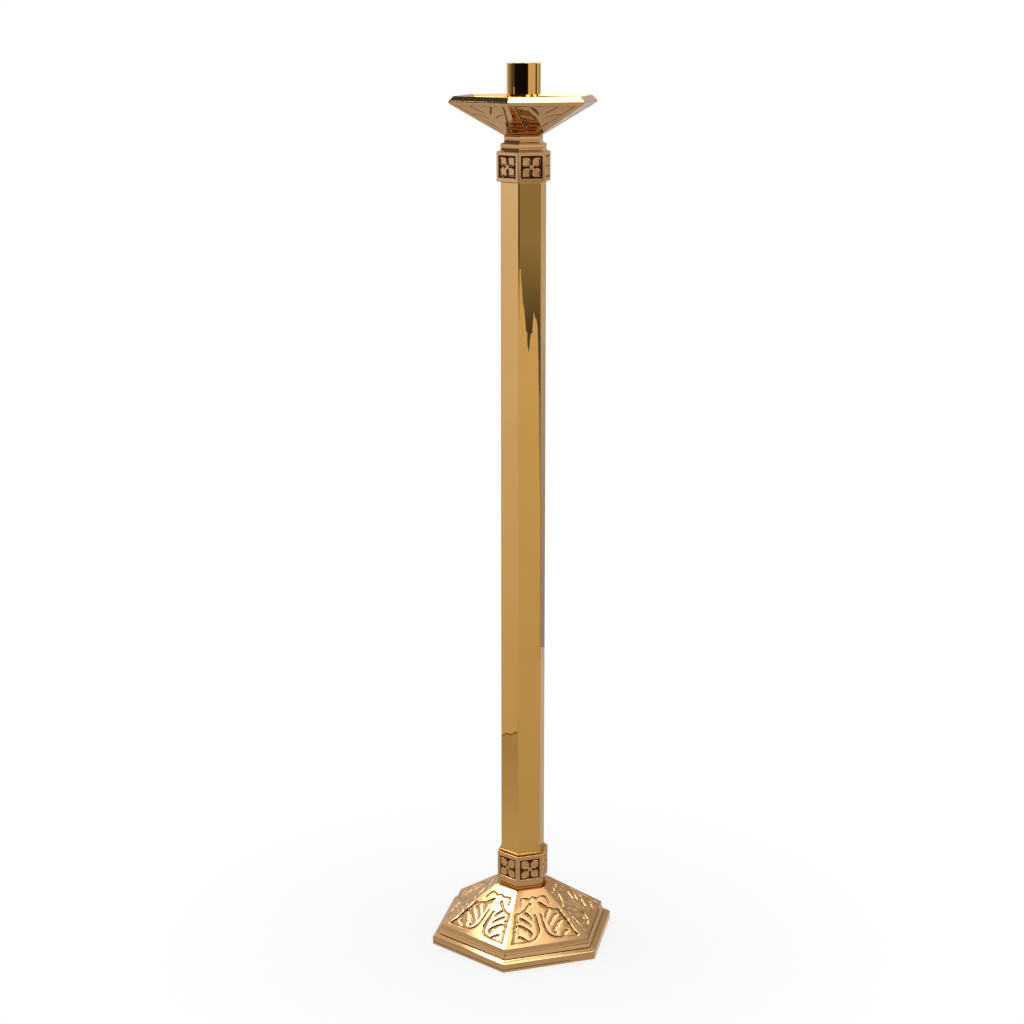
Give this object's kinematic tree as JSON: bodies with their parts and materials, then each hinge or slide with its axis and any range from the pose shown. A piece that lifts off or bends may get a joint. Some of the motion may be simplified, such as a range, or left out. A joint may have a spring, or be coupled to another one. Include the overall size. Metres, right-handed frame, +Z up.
{
  "type": "floor candlestick",
  "caption": "Tall polished brass floor candlestick: weighted hexagonal base with carved leaf panels, hexagonal shaft with flower collars, drip pan and round candle socket.",
  "frame": {"origin": "centre of the underside, on the surface it stands on", "axes": "+Z up along the shaft; one corner of the hexagon towards -Y, flats towards +X and -X"},
  "size_m": [0.213, 0.246, 1.118],
  "materials": {
    "polished_brass": "mirror polished, lacquered",
    "zinc_steel": "zinc plated",
    "cast_iron": "rough, black",
    "felt": "green felt",
    "fibre": "red-brown fibre sheet"
  },
  "bodies": {
    "root": {"base": "polished_brass", "foot_ring_wide": "polished_brass", "foot_ring_narrow": "polished_brass", "lower_collar": "polished_brass", "bead_ring": "polished_brass", "shaft": "polished_brass", "shaft_lower_plug": "polished_brass", "shaft_upper_plug": "polished_brass", "upper_collar": "polished_brass", "neck_ring_wide": "polished_brass", "neck_ring_narrow": "polished_brass", "drip_pan": "polished_brass", "candle_socket": "polished_brass", "socket_plug": "polished_brass", "tie_rod": "zinc_steel", "rod_nut": "zinc_steel", "rod_lock_washer": "zinc_steel", "rod_washer": "zinc_steel", "bottom_cover": "zinc_steel", "cover_screw_1": "zinc_steel", "cover_screw_2": "zinc_steel", "cover_screw_3": "zinc_steel", "cover_screw_4": "zinc_steel", "cover_screw_5": "zinc_steel", "cover_screw_6": "zinc_steel", "base_weight": "cast_iron", "felt_pad": "felt", "socket_gasket": "fibre"}
  },
  "joints": []
}
